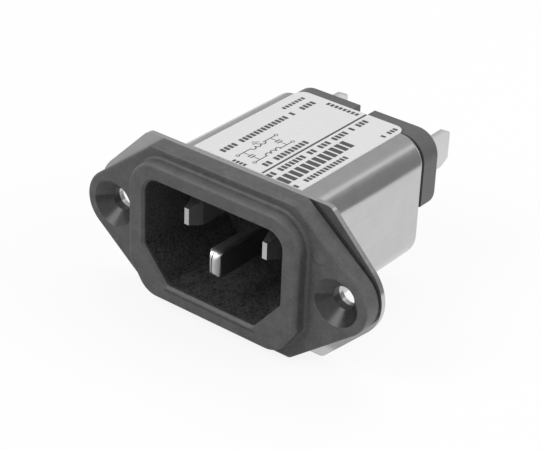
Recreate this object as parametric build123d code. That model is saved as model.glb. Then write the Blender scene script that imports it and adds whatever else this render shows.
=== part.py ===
from build123d import *
from math import cos, radians, sin, tan
import os

# A mains inlet with a line filter behind it, in one drawn metal case.
# Millimetres. X runs from screw to screw, Y points back through the panel, Z is up.
# The origin lies midway between the screws, on the rear face of the metal flange,
# which is the face that meets the panel.

# Fits
fit = 0.05
wire_fit = 0.1

# Fixing
screw_rim_gap = 4.88
screw_edge = 5.25
screw_hole = 3.4
countersink_width = 7.2
countersink_angle = 90.0

# Metal case
case_flange_sheet = 0.8
case_brim = 1.0
case_flange_end_radius = 6.6
case_flange_slope = 45.0
case_flange_corner_radius = 1.6
case_wall = 0.6
case_side_gap = 0.37
case_top_radius = 4.1
case_bottom_radius = 4.5
case_rear_radius = 0.8
case_draw_radius = 0.9

# Moulded flange and rim
flange_thickness = 3.15
flange_end_step = 0.25
flange_overhang = 0.25
flange_end_radius = 5.0
flange_slope = 38.2
flange_corner_radius = 0.9
flange_edge_radius = 0.4
flange_back_chamfer = 0.35
rim_height = 2.15
rim_brim = 1.25
rim_low_brim = 1.15
rim_side_width = 2.87
rim_roof_width = 2.5
rim_floor_width = 2.75
rim_top_radius = 5.0
rim_cut_width = 3.2
rim_cut_height = 4.7
rim_shoulder_radius = 1.5
rim_keel_radius = 3.7
rim_edge_radius = 0.6
rim_base_radius = 0.5
mark_width = 2.4
mark_depth = 0.1
mark_gap = 1.78
mark_z = 5.9

# Moulded well
well_width = 24.5
well_top = 8.1
well_bottom = -7.95
well_top_radius = 2.5
well_cut_width = 4.4
well_cut_height = 5.2
well_shoulder_radius = 0.8
well_keel_radius = 0.8
well_depth = 17.0
well_lip = 0.35
well_wall = 0.5
well_floor = 1.8
boss_width = 2.4
upper_boss_x = 3.6
upper_boss_inset = 1.9
lower_boss_x = 7.0
lower_boss_inset = 2.35

# Contact pins
pin_spacing = 14.0
pin_width = 4.0
pin_thickness = 2.0
live_pin_rise = 10.35
earth_pin_drop = 4.0
live_pin_recess = 3.28
earth_pin_recess = 0.72
pin_bevel_length = 2.4
pin_bevel_side = 0.6
pin_bevel_top = 0.7
pin_tail_inset = 0.1
earth_seam = 0.12
earth_fold = 0.9
earth_fold_radius = 0.6

# Component board
board_gap = 1.0
board_thickness = 1.2
board_side_gap = 0.4
board_floor_gap = 0.7
lead_width = 0.7
lead_tip = 0.3

# Rear cover
cover_depth = 3.6
cover_tab_gap = 4.3
cover_left_step = 1.4
cover_top_step = 0.25
cover_top_radius = 3.7
cover_low_radius = 1.3
cover_edge_radius = 0.3
cover_back_wall = 1.5
cover_notch_x = 0.92
cover_notch_width = 2.74
cover_notch_depth = 1.4
spigot_side_inset = 2.32
spigot_low_inset = 1.7
spigot_top_inset = 1.85
spigot_length = 2.0
spigot_wall = 0.9
spigot_radius = 1.2

# Blade tabs
tab_side_gap = 4.22
tab_drop = 6.9
tab_width = 6.35
tab_thickness = 0.8
tab_reach = 9.15
tab_tip_length = 1.9
tab_tip_drop = 1.0
tab_tip_radius = 0.4
tab_side_bevel = 0.2
tab_hole = 1.8
tab_hole_from_tip = 4.3
tab_leg_width = 1.3
tab_bend_radius = 0.4

# Earth tab, rivet and strap
earth_tab_rise = 4.1
earth_foot_width = 6.8
rivet_x = -3.3
rivet_shank = 2.4
rivet_head = 4.2
rivet_head_height = 0.7
rivet_head_radius = 0.4
strap_width = 7.6
strap_x = -1.8
strap_thickness = 0.5
strap_bend_radius = 0.3
strap_above_rivet = 2.8
strap_above_pin = 2.6

# Choke
core_outer = 12.0
core_inner = 7.0
core_length = 5.0
core_edge_radius = 0.5
core_x = -4.4
choke_strap_gap = 0.25
choke_rivet_gap = 1.5
wire_width = 0.9
turns = 8
turn_pitch = 15.5
separator_thickness = 1.0
separator_overhang = 0.9

# Capacitors and resistor
x_cap_width = 4.0
x_cap_height = 13.0
x_cap_x = 5.3
x_cap_cover_gap = 0.5
x_cap_floor_gap = 1.3
x_cap_pitch = 10.0
x_cap_edge_radius = 0.5
y_cap_width = 6.0
y_cap_thickness = 3.2
y_cap_spacing = 6.4
y_cap_low_gap = 0.25
y_cap_liner_gap = 0.3
y_cap_pitch = 5.0
y_cap_edge_radius = 1.0
resistor_side_gap = 0.3
resistor_rise = 6.9
resistor_length = 6.3
resistor_width = 2.3
resistor_end_length = 1.3
resistor_end_growth = 0.1
resistor_lead_run = 1.5
resistor_lead_radius = 0.7

# Liner and label
liner_thickness = 0.3
liner_bottom = -3.0
label_side_gap = 4.14
label_thickness = 0.12
label_front_gap = 0.6
label_overlap = 0.9
label_radius = 1.7

# Depths, from the rim at the front to the tips of the tabs
seat_y = -case_flange_sheet
face_y = seat_y - flange_thickness
rim_y = face_y - rim_height
floor_y = rim_y + well_depth
well_back_y = floor_y + well_floor
board_front_y = well_back_y + board_gap
board_back_y = board_front_y + board_thickness
core_y = board_back_y + 2 * fit + wire_width + core_length / 2
choke_back_y = core_y + core_length / 2 + fit + wire_width
strap_rear_y = choke_back_y + choke_rivet_gap + rivet_head_height
case_inside_y = strap_rear_y + strap_thickness
case_length = case_inside_y + case_wall
plug_y = case_length - spigot_length
cover_back_y = case_length + cover_depth
tab_tip_y = cover_back_y + tab_reach

# Heights, from the floor of the case to its roof
case_floor_z = well_bottom - well_wall - fit
case_bottom = case_floor_z - case_wall
board_bottom = case_floor_z + board_floor_gap
live_pin_z = well_bottom + live_pin_rise
earth_pin_z = live_pin_z - earth_pin_drop
earth_tab_z = case_floor_z + earth_tab_rise
cover_bottom = earth_tab_z + cover_tab_gap
resistor_z = case_floor_z + resistor_rise
core_z = case_floor_z + strap_thickness + choke_strap_gap + wire_width + fit + core_outer / 2
choke_top_z = core_z + core_outer / 2 + fit + wire_width
x_cap_z = case_floor_z + x_cap_floor_gap + x_cap_height / 2
x_cap_top_z = x_cap_z + x_cap_height / 2
y_cap_z = max(choke_top_z, x_cap_top_z) + y_cap_low_gap + y_cap_thickness / 2
liner_z = y_cap_z + y_cap_thickness / 2 + y_cap_liner_gap
case_top = liner_z + liner_thickness + fit + case_wall
cover_top = case_top - cover_top_step

# Outlines
rim_width = well_width + 2 * rim_side_width
rim_top = well_top + rim_roof_width
rim_bottom = well_bottom - rim_floor_width
screw_x = rim_width / 2 + screw_rim_gap
case_width = well_width + 2 * (well_wall + case_side_gap + case_wall)
flange_reach = max(case_top + case_brim, rim_top + rim_brim, rim_low_brim - rim_bottom)
case_flange_height = 2 * flange_reach
case_flange_length = 2 * (screw_x + screw_edge)
flange_height = case_flange_height + 2 * flange_overhang
flange_length = case_flange_length - 2 * flange_end_step
cover_width = case_width - cover_left_step
cover_x = cover_left_step / 2
spigot_width = case_width - 2 * spigot_side_inset
spigot_bottom = cover_bottom + spigot_low_inset
spigot_top = case_top - spigot_top_inset
label_width = case_width - 2 * label_side_gap

# Other places along X and Z
mark_x = rim_width / 2 + mark_gap
pin_x = pin_spacing / 2
upper_boss_z = well_top - upper_boss_inset
lower_boss_z = well_bottom + lower_boss_inset
tab_x = case_width / 2 - tab_side_gap
tab_z = case_top - tab_drop
leg_z = tab_z + (tab_width - tab_leg_width) / 2
liner_x = case_width / 2 - case_wall - fit - liner_thickness
resistor_end_width = resistor_width + 2 * resistor_end_growth
resistor_x = liner_x - resistor_side_gap - resistor_end_width / 2


def facing(y):
    """The drawing plane at depth y, whose own x and y are X and Z."""
    return Plane(origin=(0, y, 0), x_dir=(1, 0, 0), z_dir=(0, -1, 0))


def slab(outline, front, back):
    """An outline carried from depth front to depth back."""
    return extrude(facing(back) * outline, back - front)


def rod(x, z, width, front, back):
    """A round bar along Y."""
    return slab(Pos(x, z) * Circle(width / 2), front, back)


def bar(x, z, width, height, front, back):
    """A rectangular bar along Y, centred on x and z."""
    return slab(Pos(x, z) * Rectangle(width, height), front, back)


def edges_at(shape, y):
    """The edges that lie wholly at depth y."""
    return shape.edges().filter_by_position(Axis.Y, y - 0.001, y + 0.001)


def flange_outline(length, height, slope, end_radius, corner_radius):
    """Four sloped edges that run into a round end beyond each screw."""
    tip = length / 2 + end_radius / sin(radians(slope)) - end_radius
    half = height / 2
    corner = tip - half / tan(radians(slope))
    upper = [(tip, 0), (corner, half), (-corner, half)]
    lower = [(-tip, 0), (-corner, -half), (corner, -half)]
    outline = Polygon(*upper, *lower, align=None)
    corners = outline.vertices().filter_by(lambda v: abs(v.Y) > half / 2)
    outline = fillet(corners, corner_radius)
    tips = outline.vertices().filter_by(lambda v: abs(v.Y) < half / 10)
    return fillet(tips, end_radius)


def inlet_outline(width, top, bottom, cut_width, cut_height, radii):
    """The keyed inlet shape: round upper corners and sloped lower ones."""
    side = width / 2
    shoulder = bottom + cut_height
    keel = side - cut_width
    right = [(keel, bottom), (side, shoulder), (side, top)]
    left = [(-side, top), (-side, shoulder), (-keel, bottom)]
    outline = Polygon(*right, *left, align=None)
    for height, radius in zip((bottom, shoulder, top), radii):
        corners = outline.vertices().filter_by(lambda v: abs(v.Y - height) < fit)
        outline = fillet(corners, radius)
    return outline


def rim_outline():
    cut = (rim_cut_width, rim_cut_height)
    radii = (rim_keel_radius, rim_shoulder_radius, rim_top_radius)
    return inlet_outline(rim_width, rim_top, rim_bottom, *cut, radii)


def well_outline():
    cut = (well_cut_width, well_cut_height)
    radii = (well_keel_radius, well_shoulder_radius, well_top_radius)
    return inlet_outline(well_width, well_top, well_bottom, *cut, radii)


def case_outline(inset=0.0):
    """The section of the case, or of the space a set distance inside it."""
    height = case_top - case_bottom
    middle = (case_top + case_bottom) / 2
    outline = Pos(0, middle) * Rectangle(case_width - 2 * inset, height - 2 * inset)
    low = outline.vertices().filter_by(lambda v: v.Y < middle)
    outline = fillet(low, case_bottom_radius - inset)
    high = outline.vertices().filter_by(lambda v: v.Y > middle)
    return fillet(high, case_top_radius - inset)


def above(z):
    """Everything above a height, as a cutter for outlines."""
    return Pos(0, z) * Rectangle(2 * case_width, 2 * case_width, align=(Align.CENTER, Align.MIN))


def choke_leads(side):
    """Where the two ends of a winding meet the board."""
    reach = (core_outer + wire_width) / 2 + fit
    angle = radians((turns - 1) / 2 * turn_pitch)
    z = core_z + side * reach * cos(angle)
    return [(core_x + end * reach * sin(angle), z) for end in (-1, 1)]


def x_cap_leads():
    return [(x_cap_x, x_cap_z + end * x_cap_pitch / 2) for end in (-1, 1)]


def y_cap_leads(side):
    middle = side * y_cap_spacing / 2
    return [(middle + end * y_cap_pitch / 2, y_cap_z) for end in (-1, 1)]


def resistor_leads():
    reach = resistor_length / 2 + resistor_lead_run
    return [(resistor_x, resistor_z + end * reach) for end in (-1, 1)]


def pin_places():
    return [(-pin_x, live_pin_z), (0, earth_pin_z), (pin_x, live_pin_z)]


def pin_slots(front, back):
    """Close slots for the three pins."""
    size = (pin_thickness + 2 * fit, pin_width + 2 * fit)
    return [bar(x, z, *size, front, back) for x, z in pin_places()]


def tab_slots(z, width, front, back):
    """Close slots for a stretch of the line and neutral tabs."""
    size = (tab_thickness + 2 * fit, width + 2 * fit)
    return [bar(x, z, *size, front, back) for x in (-tab_x, tab_x)]


def screw_holes(front, back):
    return [rod(x, 0, screw_hole, front, back) for x in (-screw_x, screw_x)]


def countersinks():
    """The cones that take the screw heads."""
    growth = (countersink_width - screw_hole) / 2
    depth = growth / tan(radians(countersink_angle / 2))
    cone = Rot(X=90) * Cone(screw_hole / 2, countersink_width / 2, depth)
    return [Pos(x, face_y + depth / 2, 0) * cone for x in (-screw_x, screw_x)]


def board_bosses():
    """Four short posts behind the well that the board rests on."""
    upper = [(-upper_boss_x, upper_boss_z), (upper_boss_x, upper_boss_z)]
    lower = [(-lower_boss_x, lower_boss_z), (lower_boss_x, lower_boss_z)]
    return [rod(x, z, boss_width, well_back_y, board_front_y) for x, z in upper + lower]


def moulded_flange():
    size = (flange_length, flange_height, flange_slope)
    outline = flange_outline(*size, flange_end_radius, flange_corner_radius)
    flange = slab(outline, face_y, seat_y)
    flange = fillet(edges_at(flange, face_y), flange_edge_radius)
    return chamfer(edges_at(flange, seat_y), flange_back_chamfer)


def on_rim_base(edge):
    """True for the line where the rim stands on the flange."""
    middle = edge.center()
    inside = abs(middle.X) < rim_width / 2 + fit
    return inside and rim_bottom - fit < middle.Z < rim_top + fit


def make_inlet_housing():
    rim = slab(rim_outline(), rim_y, face_y)
    body = moulded_flange() + fillet(edges_at(rim, rim_y), rim_edge_radius)
    body = fillet(edges_at(body, face_y).filter_by(on_rim_base), rim_base_radius)
    body += slab(offset(well_outline(), well_wall), seat_y, well_back_y)
    body += board_bosses()
    body -= slab(well_outline(), rim_y, floor_y)
    mouth = edges_at(body, rim_y).filter_by(on_well_mouth)
    body = chamfer(mouth, well_lip)
    body -= countersinks() + screw_holes(face_y, seat_y)
    body -= rod(mark_x, mark_z, mark_width, face_y, face_y + mark_depth)
    return body - pin_slots(floor_y, well_back_y)


def on_well_mouth(edge):
    """True for the inner edge of the rim's front face."""
    middle = edge.center()
    inside = abs(middle.X) < well_width / 2 + fit
    return inside and well_bottom - fit < middle.Z < well_top + fit


def make_pin(x, z, recess):
    """A flat blade with a long four-sided bevel at its tip."""
    tip_y = rim_y + recess
    lead_y = tip_y + pin_bevel_length
    blade = Pos(x, z) * Rectangle(pin_thickness, pin_width)
    narrow = pin_thickness - 2 * pin_bevel_side
    point = Pos(x, z) * Rectangle(narrow, pin_width - 2 * pin_bevel_top)
    nose = loft([facing(tip_y) * point, facing(lead_y) * blade])
    return nose + slab(blade, lead_y, board_back_y - pin_tail_inset)


def make_earth_pin():
    """The earth pin is a strip folded in two, so a seam runs up its end."""
    pin = make_pin(0, earth_pin_z, earth_pin_recess)
    lead_y = rim_y + earth_pin_recess + pin_bevel_length
    crown = pin.edges().filter_by(Axis.Y).group_by(Axis.Z)[-1]
    pin = fillet(crown.filter_by(lambda e: e.center().Y > lead_y), earth_fold_radius)
    seam_height = pin_width - earth_fold
    seam_z = earth_pin_z - earth_fold / 2
    end = board_back_y - pin_tail_inset
    return pin - bar(0, seam_z, earth_seam, seam_height, rim_y, end)


def make_metal_case():
    size = (case_flange_length, case_flange_height, case_flange_slope)
    outline = flange_outline(*size, case_flange_end_radius, case_flange_corner_radius)
    can = slab(case_outline(), 0, case_length)
    can = fillet(edges_at(can, case_length), case_rear_radius)
    body = slab(outline, seat_y, 0) + can
    root = edges_at(body, 0).filter_by(on_case_root)
    body = fillet(root, case_draw_radius)
    body -= slab(case_outline(case_wall), seat_y, case_inside_y)
    mouth = edges_at(body, seat_y).filter_by(on_case_root)
    body = fillet(mouth, case_draw_radius + case_wall / 2)
    window = spigot_outline(-fit)
    body -= slab(window, case_inside_y, case_length)
    body -= rod(rivet_x, earth_tab_z, rivet_shank + 2 * fit, case_inside_y, case_length)
    return body - screw_holes(seat_y, 0)


def on_case_root(edge):
    """True for the edges where the can meets its flange."""
    middle = edge.center()
    inside = abs(middle.X) < case_width / 2 + fit
    return inside and case_bottom - fit < middle.Z < case_top + fit


def spigot_outline(inset=0.0):
    """The cover's plug, which fills the window in the rear wall of the case."""
    height = spigot_top - spigot_bottom
    outline = Rectangle(spigot_width - 2 * inset, height - 2 * inset)
    outline = fillet(outline.vertices(), spigot_radius - inset)
    return Pos(0, (spigot_top + spigot_bottom) / 2) * outline


def cover_outline():
    """The cover's own section, which stops short of the case's left side and roof."""
    outline = Rectangle(cover_width, cover_top - cover_bottom)
    outline = fillet(outline.vertices().group_by(Axis.Y)[-1], cover_top_radius)
    return Pos(cover_x, (cover_top + cover_bottom) / 2) * outline


def make_rear_cover():
    cap = slab(cover_outline(), case_length, cover_back_y)
    rear = edges_at(cap, cover_back_y)
    low = rear.group_by(Axis.Z)[0]
    cap = fillet(low, cover_low_radius)
    high = edges_at(cap, cover_back_y).group_by(Axis.Z)[1:]
    cap = fillet([edge for group in high for edge in group], cover_edge_radius)
    cap += slab(spigot_outline(), plug_y, case_length)
    cap -= slab(spigot_outline(spigot_wall), plug_y, cover_back_y - cover_back_wall)
    notch_z = cover_top - cover_notch_depth / 2
    size = (cover_notch_width, cover_notch_depth)
    cap -= bar(cover_notch_x, notch_z, *size, case_length, cover_back_y)
    return cap - tab_slots(tab_z, tab_width, cover_back_y - cover_back_wall, cover_back_y)


def tab_blade(x, z, root_y):
    """A flat blade in the YZ plane with a tapered tip, bevelled edges and a hole."""
    length = tab_tip_y - root_y
    half = tab_width / 2
    upper = [(length / 2, half - tab_tip_drop), (length / 2 - tab_tip_length, half), (-length / 2, half)]
    lower = [(along, -up) for along, up in reversed(upper)]
    outline = Polygon(*upper, *lower, align=None)
    tips = outline.vertices().group_by(Axis.X)[-1]
    outline = fillet(tips, tab_tip_radius)
    blade = extrude(Plane.YZ * outline, tab_thickness / 2, both=True)
    faces = blade.faces().filter_by(Axis.X)
    rim = ShapeList([edge for face in faces for edge in face.edges()])
    rim = rim.filter_by(lambda e: e.center().Y > -length / 2 + fit)
    blade = chamfer(rim, tab_side_bevel)
    hole = Rot(Y=90) * Cylinder(tab_hole / 2, 2 * tab_thickness)
    blade -= Pos(0, length / 2 - tab_hole_from_tip, 0) * hole
    return Pos(x, root_y + length / 2, z) * blade


def make_live_tab(x):
    """A blade that narrows inside the cover to a leg soldered in the board."""
    root_y = cover_back_y - cover_back_wall
    leg = bar(x, leg_z, tab_thickness, tab_leg_width, board_front_y - lead_tip, root_y)
    return tab_blade(x, tab_z, root_y) + leg


def make_earth_tab():
    """A blade bent out of a foot that lies on the rear wall of the case."""
    foot_x = (tab_thickness - earth_foot_width) / 2
    middle_y = case_length + tab_thickness / 2
    foot = Pos(foot_x, middle_y) * Rectangle(earth_foot_width, tab_thickness)
    stem = Rectangle(tab_thickness, tab_thickness * 3, align=(Align.CENTER, Align.MIN))
    corner = foot + Pos(0, case_length) * stem
    bend = (-tab_thickness / 2, case_length + tab_thickness)
    inner = corner.vertices().sort_by_distance(bend)[0]
    corner = fillet(inner, tab_bend_radius)
    outer = corner.vertices().sort_by_distance((tab_thickness / 2, case_length))[0]
    corner = fillet(outer, tab_bend_radius + tab_thickness)
    foot = Pos(0, 0, earth_tab_z) * extrude(corner, tab_width / 2, both=True)
    hole = rod(rivet_x, earth_tab_z, rivet_shank + 2 * fit, case_length, cover_back_y)
    return foot - hole + tab_blade(0, earth_tab_z, case_length + tab_thickness * 3)


def make_earth_rivet():
    """A domed rivet through the earth tab, the case and the strap."""
    seat = case_length + tab_thickness
    head_y = seat + rivet_head_height
    tail_y = strap_rear_y - rivet_head_height
    shank = rod(rivet_x, earth_tab_z, rivet_shank, strap_rear_y, seat)
    head = rod(rivet_x, earth_tab_z, rivet_head, seat, head_y)
    head = fillet(edges_at(head, head_y), rivet_head_radius)
    tail = rod(rivet_x, earth_tab_z, rivet_head, tail_y, strap_rear_y)
    tail = fillet(edges_at(tail, tail_y), rivet_head_radius)
    return shank + head + tail


def make_earth_strap():
    """A bent strip from the earth pin, along the case floor, to the rivet."""
    front_y = well_back_y + fit
    front_height = earth_pin_z + strap_above_pin - case_floor_z
    rear_height = earth_tab_z + strap_above_rivet - case_floor_z
    start = Pos(front_y, case_floor_z)
    profile = start * Rectangle(case_inside_y - front_y, strap_thickness, align=Align.MIN)
    profile += start * Rectangle(strap_thickness, front_height, align=Align.MIN)
    start = Pos(strap_rear_y, case_floor_z)
    profile += start * Rectangle(strap_thickness, rear_height, align=Align.MIN)
    inner = [
        (front_y + strap_thickness, case_floor_z + strap_thickness),
        (strap_rear_y, case_floor_z + strap_thickness),
    ]
    outer = [(front_y, case_floor_z), (case_inside_y, case_floor_z)]
    for point in inner:
        corner = profile.vertices().sort_by_distance(point)[0]
        profile = fillet(corner, strap_bend_radius)
    for point in outer:
        corner = profile.vertices().sort_by_distance(point)[0]
        profile = fillet(corner, strap_bend_radius + strap_thickness)
    strap = Pos(strap_x, 0, 0) * extrude(Plane.YZ * profile, strap_width / 2, both=True)
    size = (pin_thickness + 2 * fit, pin_width + 2 * fit)
    strap -= bar(0, earth_pin_z, *size, front_y, front_y + strap_thickness)
    hole = rivet_shank + 2 * fit
    return strap - rod(rivet_x, earth_tab_z, hole, strap_rear_y, case_inside_y)


def make_component_board():
    outline = case_outline(case_wall + board_side_gap) & above(board_bottom)
    board = slab(outline, board_front_y, board_back_y)
    leads = x_cap_leads() + resistor_leads()
    for side in (-1, 1):
        leads += y_cap_leads(side)
    for x, z in leads:
        board -= rod(x, z, lead_width + 2 * wire_fit, board_front_y, board_back_y)
    for x, z in choke_leads(-1) + choke_leads(1):
        board -= rod(x, z, wire_width + 2 * wire_fit, board_front_y, board_back_y)
    board -= pin_slots(board_front_y, board_back_y)
    return board - tab_slots(leg_z, tab_leg_width, board_front_y, board_back_y)


def make_choke_core():
    ring = Circle(core_outer / 2) - Circle(core_inner / 2)
    half = core_length / 2
    core = slab(Pos(core_x, core_z) * ring, core_y - half, core_y + half)
    return fillet(core.edges().filter_by(GeomType.CIRCLE), core_edge_radius)


def make_winding(side):
    """Turns side by side round half of the core, with both ends led to the board."""
    inner = core_inner / 2 - fit
    outer = core_outer / 2 + fit
    span = outer - inner
    depth = core_length + 2 * fit
    loop = Box(wire_width, depth + 2 * wire_width, span + 2 * wire_width)
    loop -= Box(2 * wire_width, depth, span)
    loop = Pos(0, 0, (inner + outer) / 2) * loop
    start = -(turns - 1) / 2 * turn_pitch
    flip = 0 if side > 0 else 180
    copies = [Rot(Y=flip + start + i * turn_pitch) * loop for i in range(turns)]
    winding = Pos(core_x, core_y, core_z) * (copies[0] + copies[1:])
    for x, z in choke_leads(side):
        winding += rod(x, z, wire_width, board_front_y - lead_tip, core_y)
    return winding


def make_winding_separator():
    """A plate across the bore of the core keeps the two windings apart."""
    width = core_inner - 4 * fit
    back = core_y + core_length / 2 + separator_overhang
    return bar(core_x, core_z, width, separator_thickness, board_back_y, back)


def make_x_capacitor():
    back = plug_y - x_cap_cover_gap
    box = bar(x_cap_x, x_cap_z, x_cap_width, x_cap_height, board_back_y, back)
    box = fillet(box.edges().filter_by(Axis.Y) + edges_at(box, back), x_cap_edge_radius)
    middle = (board_back_y + back) / 2
    for x, z in x_cap_leads():
        box += rod(x, z, lead_width, board_front_y - lead_tip, middle)
    return box


def make_y_capacitor(side):
    disc = Cylinder(y_cap_width / 2, y_cap_thickness)
    disc = fillet(disc.edges().filter_by(GeomType.CIRCLE), y_cap_edge_radius)
    middle_y = board_back_y + fit + y_cap_width / 2
    disc = Pos(side * y_cap_spacing / 2, middle_y, y_cap_z) * disc
    for x, z in y_cap_leads(side):
        disc += rod(x, z, lead_width, board_front_y - lead_tip, middle_y)
    return disc


def make_bleed_resistor():
    """An axial resistor with swollen ends and leads bent down to the board."""
    middle_y = board_back_y + fit + resistor_end_width / 2
    body = Cylinder(resistor_width / 2, resistor_length)
    for end in (-1, 1):
        swell = Cylinder(resistor_end_width / 2, resistor_end_length)
        body += Pos(0, 0, end * (resistor_length - resistor_end_length) / 2) * swell
    body = Pos(resistor_x, middle_y, resistor_z) * body
    tip_y = board_front_y - lead_tip
    for x, z in resistor_leads():
        points = [(x, middle_y, resistor_z), (x, middle_y, z), (x, tip_y, z)]
        path = FilletPolyline(*points, radius=resistor_lead_radius)
        section = Plane(points[0], z_dir=(0, 0, z - resistor_z)) * Circle(lead_width / 2)
        body += sweep(section, path)
    return body


def make_insulating_liner():
    """Sheet against the roof and both sides of the case, over the components."""
    outside = case_wall + fit
    sheet = case_outline(outside) - case_outline(outside + liner_thickness)
    return slab(sheet & above(liner_bottom), board_front_y, case_inside_y)


def make_rating_label():
    """A plate on the roof that runs a little way over the rear cover."""
    front = case_draw_radius + label_front_gap
    length = case_length + label_overlap - front
    outline = Rectangle(label_width, length)
    rear = outline.vertices().group_by(Axis.Y)[-1]
    outline = fillet(rear, label_radius)
    return Pos(0, front + length / 2, case_top) * extrude(outline, label_thickness)


def main():
    nodes = {
        "inlet_housing": make_inlet_housing(),
        "line_pin": make_pin(-pin_x, live_pin_z, live_pin_recess),
        "neutral_pin": make_pin(pin_x, live_pin_z, live_pin_recess),
        "earth_pin": make_earth_pin(),
        "metal_case": make_metal_case(),
        "rear_cover": make_rear_cover(),
        "line_tab": make_live_tab(-tab_x),
        "neutral_tab": make_live_tab(tab_x),
        "earth_tab": make_earth_tab(),
        "earth_rivet": make_earth_rivet(),
        "earth_strap": make_earth_strap(),
        "component_board": make_component_board(),
        "choke_core": make_choke_core(),
        "line_winding": make_winding(1),
        "neutral_winding": make_winding(-1),
        "winding_separator": make_winding_separator(),
        "x_capacitor": make_x_capacitor(),
        "line_y_capacitor": make_y_capacitor(-1),
        "neutral_y_capacitor": make_y_capacitor(1),
        "bleed_resistor": make_bleed_resistor(),
        "insulating_liner": make_insulating_liner(),
        "rating_label": make_rating_label(),
    }
    os.makedirs("parts", exist_ok=True)
    for name, shape in nodes.items():
        export_step(shape, f"parts/{name}.step")
        print(f"{name}: {len(shape.solids())} solid, {shape.volume:.1f} cubic mm")


main()
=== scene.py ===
# %% [markdown]
# # A mains inlet with a line filter, lit on a white table
#
# The shape of the inlet comes ready made, so this lesson is about what a
# shape lacks: the grain of moulded plastic, the sheen of plated sheet, the
# print on a label, and the light that makes a small dark thing readable.
#
# The first cell loads the shape and keeps its box. Every length below is in
# millimetres, as on the drawings of such parts, and one factor turns it into
# Blender's metres.

# %% Load the inlet
import bpy
from math import pi, radians
from mathutils import Matrix, Quaternion, Vector


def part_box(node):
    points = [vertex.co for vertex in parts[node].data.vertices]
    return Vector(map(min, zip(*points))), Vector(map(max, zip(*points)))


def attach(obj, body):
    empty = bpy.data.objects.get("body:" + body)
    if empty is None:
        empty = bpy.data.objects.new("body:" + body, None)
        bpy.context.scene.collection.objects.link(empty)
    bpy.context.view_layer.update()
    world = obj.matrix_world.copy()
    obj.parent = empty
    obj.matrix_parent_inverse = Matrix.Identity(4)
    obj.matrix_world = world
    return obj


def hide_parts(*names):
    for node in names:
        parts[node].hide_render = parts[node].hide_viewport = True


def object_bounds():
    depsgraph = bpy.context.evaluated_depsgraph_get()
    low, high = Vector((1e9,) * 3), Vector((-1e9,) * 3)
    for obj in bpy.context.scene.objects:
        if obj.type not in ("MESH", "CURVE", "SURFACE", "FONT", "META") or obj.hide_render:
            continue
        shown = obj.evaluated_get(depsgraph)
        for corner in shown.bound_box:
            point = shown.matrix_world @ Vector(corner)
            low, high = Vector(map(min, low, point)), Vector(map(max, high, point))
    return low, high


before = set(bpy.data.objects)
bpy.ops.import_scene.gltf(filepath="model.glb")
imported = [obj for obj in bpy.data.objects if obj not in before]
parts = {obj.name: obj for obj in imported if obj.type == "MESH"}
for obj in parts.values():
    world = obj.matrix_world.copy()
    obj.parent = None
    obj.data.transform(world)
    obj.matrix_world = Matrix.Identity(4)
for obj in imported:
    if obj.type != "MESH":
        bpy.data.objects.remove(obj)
cad_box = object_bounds()
MM = 0.001
box_mm = [[round(v / MM, 2) for v in corner] for corner in cad_box]
print(len(parts), "pieces, box in mm:", box_mm)


# %% [markdown]
# ## The camera
#
# A small product is photographed from a step back with a long lens, which
# keeps parallel edges nearly parallel. The camera stands in front of the
# inlet, to its right and above it, and leans by two degrees. It could be
# pointed by a constraint, but a place, a direction and a lean say the same
# in three values that can be fitted and kept.

# %% Stand the camera
camera_place = Vector((128.99, -160.32, 121.66)) * MM
camera_aim = Vector((-0.5280, 0.6860, -0.5005))
camera_lean = radians(2.19)
camera_lens = 114.19
film_width = 36.0
nearest_seen = 10.0

eye = bpy.data.cameras.new("eye")
eye.sensor_width = film_width
eye.lens = camera_lens
eye.clip_start = nearest_seen * MM
camera = bpy.data.objects.new("camera", eye)
bpy.context.scene.collection.objects.link(camera)
turn = camera_aim.to_track_quat("-Z", "Y") @ Quaternion((0, 0, 1), camera_lean)
camera.matrix_world = Matrix.Translation(camera_place) @ turn.to_matrix().to_4x4()
bpy.context.scene.camera = camera
print("camera", round(camera_place.length / MM), "mm from the flange")


# %% [markdown]
# ## Nodes that read as arithmetic
#
# A material is a small program. Wired by hand it is hard to read, so one
# class stands for a value on its way through the nodes. Adding two of them
# adds a Math node, and so on, and `1 - mask` works as well as `mask - 1`.
# A comparison gives 1 or 0, and `|` takes the larger of two values, so
# masks combine as they do in words.

# %% A value
class Value:
    """The output of a node, which takes part in arithmetic."""

    def __init__(self, paint, socket):
        self.paint = paint
        self.socket = socket

    def __add__(self, other):
        return self.paint.maths("ADD", self, other)

    def __radd__(self, other):
        return self.paint.maths("ADD", other, self)

    def __sub__(self, other):
        return self.paint.maths("SUBTRACT", self, other)

    def __rsub__(self, other):
        return self.paint.maths("SUBTRACT", other, self)

    def __mul__(self, other):
        return self.paint.maths("MULTIPLY", self, other)

    def __rmul__(self, other):
        return self.paint.maths("MULTIPLY", other, self)

    def __truediv__(self, other):
        return self.paint.maths("DIVIDE", self, other)

    def __rtruediv__(self, other):
        return self.paint.maths("DIVIDE", other, self)

    def __pow__(self, other):
        return self.paint.maths("POWER", self, other)

    def __rpow__(self, other):
        return self.paint.maths("POWER", other, self)

    def __or__(self, other):
        return self.paint.maths("MAXIMUM", self, other)

    def __ror__(self, other):
        return self.paint.maths("MAXIMUM", other, self)

    def __gt__(self, other):
        return self.paint.maths("GREATER_THAN", self, other)

    def __lt__(self, other):
        return self.paint.maths("LESS_THAN", self, other)

    def __abs__(self):
        return self.paint.maths("ABSOLUTE", self)


print("Value:", Value.__doc__)


# %% [markdown]
# A second class holds the material itself. Everything that isn't arithmetic
# comes from its one method `node`, which sets a node up before it fills the
# sockets, because some settings change which sockets there are. The closing
# method puts all values on one Principled shader, since nearly every real
# surface here is plastic, paper or metal.

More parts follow.
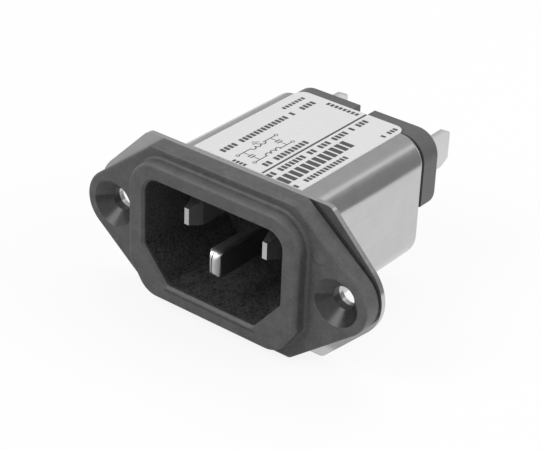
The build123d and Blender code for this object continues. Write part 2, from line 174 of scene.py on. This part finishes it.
# %% A paint
class Paint:
    """A material, or the world, under construction."""

    def __init__(self, name, holder=None):
        self.material = holder or bpy.data.materials.new(name)
        self.material.use_nodes = True
        self.tree = self.material.node_tree
        self.tree.nodes.clear()

    def node(self, kind, settings=None, sockets=None):
        """Adds a node, sets it up, then fills its sockets. Gives its outputs."""
        made = self.tree.nodes.new(kind)
        for key, value in (settings or {}).items():
            if key == "stops":
                set_stops(made.color_ramp.elements, value)
            else:
                setattr(made, key, value)
        for key, value in (sockets or {}).items():
            if isinstance(value, Value):
                self.tree.links.new(value.socket, made.inputs[key])
            else:
                made.inputs[key].default_value = value
        return [Value(self, socket) for socket in made.outputs]

    def maths(self, operation, *values):
        """A Math node on up to three values."""
        settings = {"operation": operation}
        return self.node("ShaderNodeMath", settings, dict(enumerate(values)))[0]

    def finish(self, **sockets):
        """Ends the material in one Principled shader."""
        names = {name.replace("_", " "): value for name, value in sockets.items()}
        shader = self.node("ShaderNodeBsdfPrincipled", None, names)[0]
        self.node("ShaderNodeOutputMaterial", None, {0: shader})
        print(self.material.name, "has", len(self.tree.nodes), "nodes")
        return self.material


def grey(level):
    return (level, level, level, 1)


def set_stops(elements, stops):
    """Moves a ramp's two ends to their places and levels."""
    for element, (place, level) in zip(elements, stops):
        element.position = place
        element.color = grey(level)


print("Paint:", Paint.__doc__)


# %% [markdown]
# ## Where a point lies, and patterns on it
#
# A pattern could follow a picture wrapped around the piece, but a moulding
# has no seams to wrap it by. So each pattern is worked out from the point
# itself, in the piece's own coordinates, and holds still when the piece is
# moved. Noise gives clouds, and the distance to scattered points gives
# specks.

# %% Places and patterns
object_output = 3


def place(paint):
    """The point on the piece."""
    return paint.node("ShaderNodeTexCoord")[object_output]


def axes(paint):
    """The point's x, y and z in millimetres."""
    split = paint.node("ShaderNodeSeparateXYZ", None, {0: place(paint)})
    return [axis / MM for axis in split]


def noise(paint, size, detail=2.0, where=None):
    """Cloudy noise from 0 to 1 with blots of that size in millimetres."""
    sockets = {"Vector": where or place(paint), "Scale": 1 / (size * MM), "Detail": detail}
    return paint.node("ShaderNodeTexNoise", None, sockets)[0]


def specks(paint, spacing, radius):
    """1 inside scattered round specks, 0 between them."""
    sockets = {"Vector": place(paint), "Scale": 1 / (spacing * MM)}
    distance = paint.node("ShaderNodeTexVoronoi", None, sockets)[0]
    return distance < radius / spacing


def bar(x, y, middle_x, middle_y, width, height):
    """1 inside a box, given by its middle and its size."""
    return (abs(x - middle_x) < width / 2) * (abs(y - middle_y) < height / 2)


print("patterns are sized in units of", MM, "m")


# %% [markdown]
# A value becomes a grey by a ramp, and two colours mix by a Mix node, since
# a Math node would turn a colour grey. A bump bends the light as if the
# surface had a height, which is right for grain too fine to model.

# %% Colours and grain
mix_factor, mix_first, mix_second, mix_colour = 0, 6, 7, 2
black_to_white = ((0, 0), (1, 1))


def blend(paint, factor, first, second):
    """A colour between two colours."""
    sockets = {mix_factor: factor, mix_first: first, mix_second: second}
    return paint.node("ShaderNodeMix", {"data_type": "RGBA"}, sockets)[mix_colour]


def shade(paint, level):
    """Turns a level into a grey."""
    return paint.node("ShaderNodeValToRGB", {"stops": black_to_white}, {0: level})[0]


def bump(paint, height, depth):
    """A normal from a height that runs from 0 to 1 over a depth in mm."""
    sockets = {"Height": height, "Distance": depth * MM, "Strength": 1.0}
    return paint.node("ShaderNodeBump", None, sockets)[0]


def dress(material, *names):
    """Puts a material on pieces by name."""
    for name in names:
        for held in parts[name].material_slots:
            held.material = material
    print(material.name, "on", ", ".join(names))


print("levels run from", black_to_white[0][1], "to", black_to_white[1][1])


# %% [markdown]
# ## Moulded black plastic
#
# The housing is a glass-filled moulding. Close to, such a surface is a fine
# mottle of slightly lighter and darker grey, with a few pale specks where
# the filler shows, and it scatters light more than it mirrors it. One flat
# black would look like a cut-out, so two noises of different size carry the
# mottle and a bump much shallower than a hair gives it its grain.
#
# Four places differ, and each is a condition on the point. The ejector pin
# of the mould left a round, slightly polished mark in the upper corner of
# the flange. The well was made by a polished core, so it shines more, and it
# is painted darker with a fine dark grain, a painted shade for its depth. The
# lower half of each countersink is painted dark, a painted shade, and shines
# more. A thin groove runs along the rim under the well, painted as a dark
# line of shade.

# %% Places on the housing
mark_x = 16.9
mark_z = 5.9
mark_radius = 1.2
mark_before_y = -2.0
screw_x = 20.0
cone_radius = 3.55
# The lower half of each countersink gets a painted shade, up to this height with a wavering
# edge.
cone_shade_height = 0.5
cone_shade_waver = 0.8
well_width = 24.6
well_height = 16.4
well_lip_y = -5.4
groove_z = -8.68
groove_length = 16.6
groove_width = 0.24


def housing_places(cloud, x, y, z):
    """Masks of the mark, the painted shade of the cones, the well and the groove."""
    from_mark = ((x - mark_x) ** 2 + (z - mark_z) ** 2) ** 0.5
    mark = (from_mark < mark_radius) * (y < mark_before_y)
    from_screw = ((abs(x) - screw_x) ** 2 + z ** 2) ** 0.5
    # Painted shade in the lower half of each countersink.
    shaded_cones = (from_screw < cone_radius) * (z + cone_shade_waver * cloud < cone_shade_height)
    well = bar(x, z, 0.0, 0.0, well_width, well_height) * (y > well_lip_y)
    # Painted shade: a dark line where the small step under the well lies in shadow.
    groove = bar(x, z, 0.0, groove_z, groove_length, groove_width) * (y < well_lip_y)
    return mark, shaded_cones, well, groove


print("well", well_width, "x", well_height, "mm, screws at", screw_x, "mm")


# %% [markdown]
# With the places at hand, the paint itself is a sum: a dark grey, plus what
# the mottle, the cloud and the mark add, times what the painted shade of the
# cones, the groove and the well takes away. The masks of the cones and the
# well also lower the roughness, so these spots are painted darker and shine more.

# %% The housing
black = 0.016
mottle_adds = 0.064
cloud_adds = 0.064
mark_adds = 0.014
cone_shade_takes = 0.7
groove_shade_takes = 0.6
well_shade_takes = 0.1
grain_shade_takes = 0.5
grain_size = 0.3
grain_above = 0.54
filler_grey = 0.16


def moulded_black():
    paint = Paint("moulded_black")
    x, y, z = axes(paint)
    mottle = noise(paint, 0.35, 3.0)
    cloud = noise(paint, 1.8, 4.0)
    mark, shaded_cones, well, groove = housing_places(cloud, x, y, z)
    grain = noise(paint, grain_size, 1.0) > grain_above
    level = black + mottle_adds * mottle + cloud_adds * cloud + mark_adds * mark
    # Painted shade: the lower half of each countersink and the thin line under the well are
    # darkened.
    level = level * (1 - cone_shade_takes * shaded_cones) * (1 - groove_shade_takes * groove)
    # Painted shade: the well is darkened, more where the grain is.
    level = level * (1 - well * (well_shade_takes + grain_shade_takes * grain))
    polished = shaded_cones | well
    speck = specks(paint, 2.0, 0.1) * (1 - polished)
    return paint.finish(
        Base_Color=blend(paint, speck, shade(paint, level), grey(filler_grey)),
        Roughness=0.42 + 0.14 * mottle - 0.1 * mark - 0.2 * polished,
        Normal=bump(paint, noise(paint, 0.22), 0.007),
    )


dress(moulded_black(), "inlet_housing")


# %% [markdown]
# The rear cover is an unfilled moulding from another tool, smoother and a
# little lighter, with faint flow lines that run down from its gate. Noise
# that is squeezed along one axis gives such lines without drawing any.

# %% The rear cover
cover_grey = 0.074
flow_adds = 0.026
fine_adds = 0.016


def stretched(paint, x, y, z):
    """The point with each axis scaled, for a grain that has a direction."""
    sockets = {"Vector": place(paint), "Scale": (x, y, z)}
    return paint.node("ShaderNodeMapping", None, sockets)[0]


def smooth_black():
    paint = Paint("smooth_black")
    flow = noise(paint, 1.0, 3.0, stretched(paint, 1.6, 1.0, 0.3))
    fine = noise(paint, 0.3)
    return paint.finish(
        Base_Color=shade(paint, cover_grey + flow_adds * flow + fine_adds * fine),
        Roughness=0.38 + 0.1 * flow,
        Normal=bump(paint, 0.6 * flow + 0.4 * fine, 0.005),
    )


dress(smooth_black(), "rear_cover")


# %% [markdown]
# ## Plated sheet
#
# The can is drawn from plated steel. It mirrors the room softly, so most of
# its colour is the room's, and a painted highlight would be wrong from any
# other side. What belongs to the metal is a faint cloud in the plating,
# drawing lines that run from the flange to the back, and a few dark pits.

# %% The can
plating_grey = 0.48
plating_cloud = 0.07
drawing_lines = 0.04
pit_takes = 0.3


def plated_sheet():
    paint = Paint("plated_sheet")
    cloud = noise(paint, 2.5, 3.0)
    drawn = noise(paint, 0.5, 3.0, stretched(paint, 1.0, 0.06, 1.0))
    pit = specks(paint, 7.0, 0.14)
    level = plating_grey + plating_cloud * cloud + drawing_lines * drawn - pit_takes * pit
    return paint.finish(
        Base_Color=shade(paint, level),
        Metallic=1.0,
        Roughness=0.16 + 0.06 * cloud + 0.05 * drawn,
        Normal=bump(paint, 0.4 * drawn + 0.6 * noise(paint, 1.8), 0.005),
    )


dress(plated_sheet(), "metal_case")


# %% [markdown]
# The tabs are tinned brass. Tin is softer and greyer than the can's plating
# and shows the rollers of the strip it was punched from, which is the same
# squeezed noise, finer and along the blade.

# %% The blade tabs
tin_grey = 0.62
tin_dull = 0.08
roller_lines = 0.06


def tinned_brass():
    paint = Paint("tinned_brass")
    rolled = noise(paint, 0.3, 3.0, stretched(paint, 1.0, 0.1, 1.0))
    side_shade = noise(paint, 1.5, 3.0)
    return paint.finish(
        Base_Color=shade(paint, tin_grey + tin_dull * side_shade + roller_lines * rolled),
        Metallic=1.0,
        Roughness=0.3 + 0.14 * side_shade,
        Normal=bump(paint, rolled, 0.006),
    )


dress(tinned_brass(), "line_tab", "neutral_tab", "earth_tab")


# %% [markdown]
# The contact pins are nickel plated. Connectors have been pushed on them
# many times, so fine scratches run along them. The earth pin has a seam and
# a painted shade of its own, so this function can be given another one that
# says how much light is left where.

# %% The contact pins
nickel_grey = 0.64
nickel_cloud = 0.12
scratch_lines = 0.06


def bright_nickel(name, marks_and_shade=None):
    paint = Paint(name)
    scratch = noise(paint, 0.12, 2.0, stretched(paint, 1.0, 0.04, 1.0))
    level = nickel_grey + nickel_cloud * noise(paint, 1.2) + scratch_lines * scratch
    if marks_and_shade:
        level = level * marks_and_shade(paint)
    return paint.finish(
        Base_Color=shade(paint, level),
        Metallic=1.0,
        Roughness=0.25 + 0.14 * scratch,
        Normal=bump(paint, scratch, 0.004),
    )


dress(bright_nickel("bright_nickel"), "line_pin", "neutral_pin")


# %% [markdown]
# The earth pin is a strip folded in two. Its seam shows at the end as a dark
# line. One of its halves is painted darker towards the outside, a painted
# shade where its rounded side turns from the light. The line is far thinner
# than the pin, so it is a mark in the colour and not a cut.

# %% The seam and a painted shade
seam_x = -0.22
seam_width = 0.2
seam_before_y = -4.8
seam_takes = 0.9
# Painted shade: the pin's outer half darkens from here outwards.
side_shade_from_x = 0.15
side_shade_takes = 0.7


def seam_and_side_shade(paint):
    """What the seam and the painted shade on one half leave of the light."""
    x, y, _ = axes(paint)
    seam = (abs(x - seam_x) < seam_width / 2) * (y < seam_before_y)
    side_shade = (x - side_shade_from_x) | 0.0
    return (1 - seam_takes * seam) * (1 - side_shade_takes * side_shade)


folded_nickel = bright_nickel("folded_nickel", seam_and_side_shade)


# %% [markdown]
# The end of the folded strip is rounder than the other pins'. It could be
# carved from its ready-made shape, but that has many small faces already. A
# block of the pin's own size is simpler: each edge of its nose gets a
# weight, and one bevel rounds every edge as far as its weight says, most at
# the crown and less down the sides.

# %% The earth pin
nose_round = 1.5
nose_segments = 6
smooth_below = radians(40)
touching = 0.01 * MM
crown_weight = 1.0
sole_weight = 0.75
side_weight = 0.6
long_crown_weight = 0.1
long_weight = 0.05


def edge_weight(middle, low, high):
    """How far an edge is rounded, from where its middle lies."""
    if middle[1] > (low[1] + high[1]) / 2:
        return 0.0
    on_crown = abs(middle[2] - high[2]) < touching
    on_sole = abs(middle[2] - low[2]) < touching
    on_nose = abs(middle[1] - low[1]) < touching
    if on_crown and on_nose:
        return crown_weight
    if on_nose:
        return sole_weight if on_sole else side_weight
    return long_crown_weight if on_crown else long_weight


def folded_pin():
    low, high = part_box("earth_pin")
    bpy.ops.object.select_all(action="DESELECT")
    bpy.ops.mesh.primitive_cube_add(size=1.0, location=(low + high) / 2, scale=high - low)
    pin = bpy.context.object
    pin.name = "folded_pin"
    bpy.ops.object.transform_apply(location=True, rotation=True, scale=True)
    weights = pin.data.attributes.new("bevel_weight_edge", "FLOAT", "EDGE")
    for edge in pin.data.edges:
        first, second = (pin.data.vertices[end].co for end in edge.vertices)
        weights.data[edge.index].value = edge_weight((first + second) / 2, low, high)
    rounding = pin.modifiers.new("rounding", "BEVEL")
    rounding.width = nose_round * MM
    rounding.segments = nose_segments
    rounding.limit_method = "WEIGHT"
    bpy.ops.object.modifier_apply(modifier="rounding")
    bpy.ops.object.shade_smooth_by_angle(angle=smooth_below)
    pin.data.materials.append(folded_nickel)
    return pin


pin = folded_pin()
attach(pin, "root")
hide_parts("earth_pin")
print("folded_pin has", len(pin.data.polygons), "faces")


# %% [markdown]
# ## The print on the label
#
# Print is fields of ink on paper. It could be a picture, but fields stay
# sharp at any size: each is a condition on the point's x and y, which is 1
# inside and 0 outside, so fields add up by taking the larger.
#
# A row looks like a line of small print from a distance. It is a bar cut
# into short blocks, and a random number for each block leaves some of them
# out, which opens gaps like those between words. Most rows run along y, from
# the flange to the back, and two run across.

# %% Rows of small print
block_share = 0.72
word_gaps = 0.14
row_seed = 7.3
bar_row = (1.6, 17.2, 6.1, 2.2, 1.3)
rows_along = (
    (1.5, 25.0, 3.8, 1.05, 0.82),
    (1.6, 13.8, 8.35, 0.9, 0.74),
    (21.6, 25.2, 8.5, 0.8, 0.74),
    (3.6, 14.5, 1.4, 1.05, 0.82),
    (2.9, 24.8, -5.6, 1.05, 0.82),
    (19.2, 24.3, -7.6, 0.7, 0.74),
)
rows_across = (
    (-3.9, 2.0, 25.0, 0.8, 0.74),
    (-3.4, -0.3, 1.95, 0.7, 0.62),
)


def row(paint, along, across, measures, gaps=word_gaps):
    """Whole blocks from a start to about an end, some of them left out."""
    start, end, middle, height, pitch = measures
    blocks = round((end - start) / pitch)
    length = blocks * pitch
    field = bar(along, across, start + length / 2, middle, length, height)
    step = (along - start) / pitch
    block = paint.maths("FRACT", step) < block_share
    number = paint.maths("FLOOR", step) + middle * row_seed
    chance = paint.node("ShaderNodeTexWhiteNoise", {"noise_dimensions": "1D"}, {"W": number})[0]
    print("a row of up to", blocks, "blocks,", height, "mm high")
    return field * block * (chance > gaps)


def all_rows(paint, x, y):
    ink = row(paint, y, x, bar_row, 0)
    for measures in rows_along:
        ink = ink | row(paint, y, x, measures)
    for measures in rows_across:
        ink = ink | row(paint, x, y, measures)
    return ink


label_paint = Paint("printed_label")
label_x, label_y, _ = axes(label_paint)
rows_ink = all_rows(label_paint, label_x, label_y)


# %% [markdown]
# The schematic shows a filter in its plainest form: two lines with a coil
# of three humps each, a capacitor from line to line at either end, and an
# earth sign below. A hump is half a ring, kept on one side of its line.

# %% Signs of the schematic
plate_gap = 0.44
plate_width = 0.2
plate_length = 1.2
lead_width = 0.16
hump_radius = 0.5
hump_line = 0.2
hump_pitch = 1.1
hump_overlap = 0.08


def ring(x, y, middle_x, middle_y, radius, line):
    """Ink on a circle."""
    distance = ((x - middle_x) ** 2 + (y - middle_y) ** 2) ** 0.5
    return abs(distance - radius) < line / 2


def coil(x, y, line_x, side, first_y):
    """Three humps on one side of a line."""
    ink = ring(x, y, line_x, first_y, hump_radius, hump_line)
    for count in (1, 2):
        ink = ink | ring(x, y, line_x, first_y + hump_pitch * count, hump_radius, hump_line)
    return ink * ((x - line_x) * side > -hump_overlap)


def capacitor(x, y, middle_x, middle_y, span):
    """Two plates across the lines, with their leads."""
    apart = plate_gap / 2
    plates = bar(x, y, middle_x - apart, middle_y, plate_width, plate_length)
    plates = plates | bar(x, y, middle_x + apart, middle_y, plate_width, plate_length)
    leads = bar(x, y, middle_x, middle_y, span, lead_width)
    return plates | leads * (abs(x - middle_x) > apart)


print("a coil is", round(2 * (hump_pitch + hump_radius), 1), "mm long")


# %% [markdown]
# The signs then take their places. The lines are short bars on either side
# of each coil, with a small ring as a terminal at both ends, and the earth
# sign is a stem and three bars that get shorter.

# %% The schematic
upper_x = -0.1
lower_x = -3.1
capacitor_places = (4.6, 10.6)
lead_places = (4.9, 10.3)
lead_length = 2.7
line_width = 0.18
coil_from = 6.6
terminal_places = (3.4, 11.9)
terminal_radius = 0.25
terminal_line = 0.14
earth_y = 8.0
stem = (-3.35, earth_y, 0.5, 0.14)
earth_bars = ((-3.6, 1.5), (-3.9, 1.0), (-4.2, 0.5))
earth_line = 0.12


def earth_sign(x, y):
    ink = bar(x, y, *stem)
    for middle_x, length in earth_bars:
        ink = ink | bar(x, y, middle_x, earth_y, earth_line, length)
    return ink


def schematic(x, y):
    ink = earth_sign(x, y)
    for middle_y in capacitor_places:
        middle_x = (upper_x + lower_x) / 2
        ink = ink | capacitor(x, y, middle_x, middle_y, upper_x - lower_x)
    for line_x, side in ((upper_x, -1), (lower_x, 1)):
        ink = ink | coil(x, y, line_x, side, coil_from)
        for middle_y in lead_places:
            ink = ink | bar(x, y, line_x, middle_y, line_width, lead_length)
        for middle_y in terminal_places:
            ink = ink | ring(x, y, line_x, middle_y, terminal_radius, terminal_line)
    return ink


drawing_ink = schematic(label_x, label_y)
print("schematic", terminal_places[1] - terminal_places[0], "mm long")


# %% [markdown]
# The paper is off-white with a fine fibre in it. The ink is dark grey, a
# little uneven, and glossier than the paper, so the mask of the ink moves
# the roughness as well as the colour. A long line divides the label.

# %% The label
divider = (2.6, 13.8, 0.36, 24.2)
paper_grey = 0.64
fibre_adds = 0.07
ink_grey = 0.025


def printed_label(paint, ink):
    fibre = noise(paint, 0.4, 3.0)
    cover = ink * (0.9 + 0.1 * noise(paint, 0.15))
    paper = shade(paint, paper_grey + fibre_adds * fibre)
    return paint.finish(
        Base_Color=blend(paint, cover, paper, grey(ink_grey)),
        Roughness=0.6 - 0.2 * cover,
        Normal=bump(paint, fibre, 0.004),
    )


label_ink = rows_ink | drawing_ink | bar(label_x, label_y, *divider)
dress(printed_label(label_paint, label_ink), "rating_label")


# %% [markdown]
# ## Inside the can
#
# Closed up, none of this shows. The pieces come apart in other scenes, so
# each has its own surface all the same. Most are two close colours mixed by
# a noise, which also moves the roughness and the bump. One helper makes
# them, and the noise's size and the bump's depth tell lacquer from ferrite.

# %% Two colours and a noise
def two_tone(name, first, second, size, rough, metal=0.0, depth=0.01):
    """A surface that wanders between two colours."""
    paint = Paint(name)
    cloud = noise(paint, size, 3.0)
    fine = noise(paint, size / 4)
    return paint.finish(
        Base_Color=blend(paint, cloud, (*first, 1), (*second, 1)),
        Metallic=metal,
        Roughness=rough - 0.08 + 0.16 * fine,
        Normal=bump(paint, 0.5 * cloud + 0.5 * fine, depth),
    )


ferrite = two_tone(
    "coated_ferrite", (0.02, 0.022, 0.024), (0.045, 0.047, 0.05), 1.2, 0.5, depth=0.03
)
dress(ferrite, "choke_core")
nylon = two_tone("nylon", (0.78, 0.76, 0.69), (0.84, 0.83, 0.78), 1.0, 0.45)
dress(nylon, "winding_separator")
yellow_box = two_tone("yellow_box", (0.72, 0.5, 0.06), (0.8, 0.58, 0.1), 1.5, 0.32)
dress(yellow_box, "x_capacitor")
blue_dip = two_tone("blue_dip", (0.04, 0.14, 0.36), (0.06, 0.19, 0.45), 1.4, 0.3, depth=0.06)
dress(blue_dip, "line_y_capacitor", "neutral_y_capacitor")
film = two_tone("polyester_film", (0.74, 0.74, 0.69), (0.8, 0.8, 0.77), 3.0, 0.22)
dress(film, "insulating_liner")


# %% [markdown]
# The earth strap and its rivet are bare brass. The same helper makes them
# metal: the strap a little darker and with less grain, as it was rolled, the
# rivet paler.

# %% The brass
strap = two_tone(
    "rolled_brass", (0.62, 0.46, 0.2), (0.72, 0.56, 0.28), 1.0, 0.34, 1.0, 0.006
)
dress(strap, "earth_strap")
rivet = two_tone("headed_brass", (0.6, 0.5, 0.28), (0.7, 0.6, 0.38), 0.8, 0.3, 1.0)
dress(rivet, "earth_rivet")


# %% [markdown]
# The windings are enamelled wire around the choke's ring. The solids have
# eight broad loops on each side. To model fine wire would cost thousands of
# faces that nobody sees, so a sine of the angle around the ring draws the
# strands on the loops, and a whole number of them lets the pattern close.

# %% The windings
ring_x = -4.4
ring_z = -0.8
ring_radius = 4.4
strand_width = 0.5
strands = round(2 * pi * ring_radius / strand_width)
deep_copper = (0.3, 0.1, 0.03, 1)
bright_copper = (0.56, 0.22, 0.08, 1)


def enamelled_copper():
    paint = Paint("enamelled_copper")
    x, _, z = axes(paint)
    angle = paint.maths("ARCTAN2", z - ring_z, x - ring_x)
    ridge = paint.maths("SINE", angle * strands) * 0.5 + 0.5
    cloud = noise(paint, 0.8, 3.0)
    return paint.finish(
        Base_Color=blend(paint, ridge * 0.7 + cloud * 0.3, deep_copper, bright_copper),
        Metallic=0.8,
        Roughness=0.28 + 0.12 * cloud,
        Normal=bump(paint, ridge, 0.05),
    )


dress(enamelled_copper(), "line_winding", "neutral_winding")
print(strands, "strands around the ring")


# %% [markdown]
# The board is sheets of paper in resin. Its fibres are blots of noise drawn
# out along its width, over a broader cloud of resin, because a plain brown
# would look like moulded plastic.

# %% The board
brown = (0.36, 0.22, 0.08, 1)
tan = (0.52, 0.36, 0.16, 1)


def paper_laminate():
    paint = Paint("paper_laminate")
    fibre = noise(paint, 0.4, 4.0, stretched(paint, 0.15, 0.15, 1.0))
    return paint.finish(
        Base_Color=blend(paint, 0.6 * fibre + 0.4 * noise(paint, 3.0), brown, tan),
        Roughness=0.45 + 0.15 * fibre,
        Normal=bump(paint, fibre, 0.01),
    )


dress(paper_laminate(), "component_board")


# %% [markdown]
# The resistor wears four colour bands around its body, which stands upright.
# Rings could be modelled for them, but real ones are a film of lacquer. So
# they are conditions on z like the print, and a little noise on z makes
# their edges waver.

# %% The resistor
band_half_width = 0.3
band_waver = 0.12
bands = (
    (-4.1, (0.25, 0.1, 0.04, 1)),
    (-3.1, (0.02, 0.02, 0.02, 1)),
    (-2.1, (0.6, 0.4, 0.03, 1)),
    (-0.3, (0.55, 0.4, 0.14, 1)),
)


def banded_lacquer():
    paint = Paint("banded_lacquer")
    height = axes(paint)[2] + band_waver * noise(paint, 1.0)
    cloud = noise(paint, 1.0, 3.0)
    colour = blend(paint, cloud, (0.58, 0.44, 0.27, 1), (0.66, 0.53, 0.35, 1))
    for middle, band in bands:
        colour = blend(paint, abs(height - middle) < band_half_width, colour, band)
    return paint.finish(
        Base_Color=colour,
        Roughness=0.3 + 0.12 * cloud,
        Normal=bump(paint, cloud, 0.03),
    )


dress(banded_lacquer(), "bleed_resistor")


# %% [markdown]
# ## The studio
#
# The background is white in the picture and stays white in anything
# polished. More light would whiten the inlet too, so it is done by colour:
# Light Path tells which rays look straight at the background or reach it by
# a mirror. Those rays see plain white, and all other rays see a dimmer room,
# so that the black parts keep their depth.

# %% The room
room_light = 0.4
camera_ray, glossy_ray, transmission_ray = 0, 3, 6


def seen_directly(paint):
    """1 for rays from the camera, from a mirror or through glass."""
    rays = paint.node("ShaderNodeLightPath")
    return rays[camera_ray] | rays[glossy_ray] | rays[transmission_ray]


def room():
    world = bpy.data.worlds.new("room")
    paint = Paint("room", world)
    colour = blend(paint, seen_directly(paint), grey(room_light), grey(1.0))
    sky = paint.node("ShaderNodeBackground", None, {0: colour})[0]
    paint.node("ShaderNodeOutputWorld", None, {0: sky})
    bpy.context.scene.world = world


room()
print("room light", room_light)


# %% [markdown]
# The table is a large pale sheet just under the lowest edge of the inlet.
# Looked at directly it is mostly plain white, with a trace of the shadow
# that the inlet casts on it. A Mix Shader sets how much of each is seen.

# %% The table
table_size = 3.0
table_grey = 0.9
table_shadow = 0.12
table_drop = 0.02 * MM
table_z = cad_box[0][2] - table_drop


def white_sheet():
    paint = Paint("white_sheet")
    diffuse = paint.node("ShaderNodeBsdfDiffuse", None, {0: grey(table_grey)})[0]
    plain = paint.node("ShaderNodeEmission", None, {0: grey(1.0)})[0]
    seen = seen_directly(paint) * (1 - table_shadow)
    mixed = paint.node("ShaderNodeMixShader", None, {0: seen, 1: diffuse, 2: plain})[0]
    paint.node("ShaderNodeOutputMaterial", None, {0: mixed})
    return paint.material


bpy.ops.object.select_all(action="DESELECT")
bpy.ops.mesh.primitive_plane_add(size=table_size, location=(0, 0, table_z))
table = bpy.context.object
table.name = "table"
table.data.materials.append(white_sheet())
print("table at", round(table_z / MM, 2), "mm")


# %% [markdown]
# ## Cards for the metal
#
# Metal shows what stands around it. In an all-white room a can is a white
# shape without form, so grey cards stand around the inlet, as a photographer
# would put them, but hidden from the camera. A tall mid-grey card gives the
# roof edge its tone. A darker, lower card to its right draws the dark band
# along the rounded edge, and the gap between the two draws the bright line
# beside that band. Two more lie on the table, one in front for the metal
# flange and the pins, one far behind, which widens the dark band. Only
# mirrored rays see the cards.

# %% The cards
mid_grey = 0.56
dark_grey = 0.3
card_distance = 600
card_lift = 0.5


def card(name, x_span, span, level, distance=None):
    """A card with its span in z, upright at a distance, or in y, on the table."""
    middle_x = sum(x_span) / 2
    middle = sum(span) / 2
    place = (middle_x, middle, table_z / MM + card_lift)
    turned = (0, 0, 0)
    if distance:
        place = (middle_x, distance, middle)
        turned = (pi / 2, 0, 0)
    bpy.ops.object.select_all(action="DESELECT")
    bpy.ops.mesh.primitive_plane_add(size=1.0, location=Vector(place) * MM, rotation=turned)
    sheet = bpy.context.object
    sheet.name = name
    sheet.scale = ((x_span[1] - x_span[0]) * MM, (span[1] - span[0]) * MM, 1)
    paint = Paint(name)
    plain = paint.node("ShaderNodeEmission", None, {0: grey(level)})[0]
    paint.node("ShaderNodeOutputMaterial", None, {0: plain})
    sheet.data.materials.append(paint.material)
    sheet.visible_camera = False
    sheet.visible_diffuse = False
    sheet.visible_shadow = False
    sheet.visible_transmission = False
    print(name, "level", level)


card("tall_card", (-900, 215), (-10, 900), mid_grey, card_distance)
card("low_card", (350, 1100), (-10, 490), dark_grey, card_distance)
card("near_card", (-220, 80), (-250, -3), mid_grey)
card("far_card", (44, 1100), (50, 600), dark_grey)


# %% [markdown]
# Three soft boxes light the inlet: one above the camera's left shoulder,
# one above and behind, which keeps the well dark, and one behind on the
# right, which leaves the side of the rim in the flange's shade. One large
# lamp would be simpler, but it lights the well as much as the rim. The last
# two stay out of all mirrors, so that the cards alone draw the can's edge.

# %% The lamps
def soft_box(name, place, width, power, mirrored):
    """A square lamp that faces the inlet."""
    lamp = bpy.data.lights.new(name, "AREA")
    lamp.size = width * MM
    lamp.energy = power
    holder = bpy.data.objects.new(name, lamp)
    bpy.context.scene.collection.objects.link(holder)
    aim = (-Vector(place)).to_track_quat("-Z", "Y")
    holder.matrix_world = Matrix.Translation(Vector(place) * MM) @ aim.to_matrix().to_4x4()
    holder.visible_camera = False
    holder.visible_glossy = mirrored
    print(name, "at", place, "with", power, "W")


soft_box("key_lamp", (-200, -340, 370), 320, 1.2, True)
soft_box("top_lamp", (-100, 200, 430), 320, 0.75, False)
soft_box("side_lamp", (380, 180, 200), 240, 0.9, False)


# %% [markdown]
# ## Finish
#
# The view transform stays plain, so that a colour renders about as it is written.

# %% Finish
bpy.context.scene.view_settings.view_transform = "Standard"
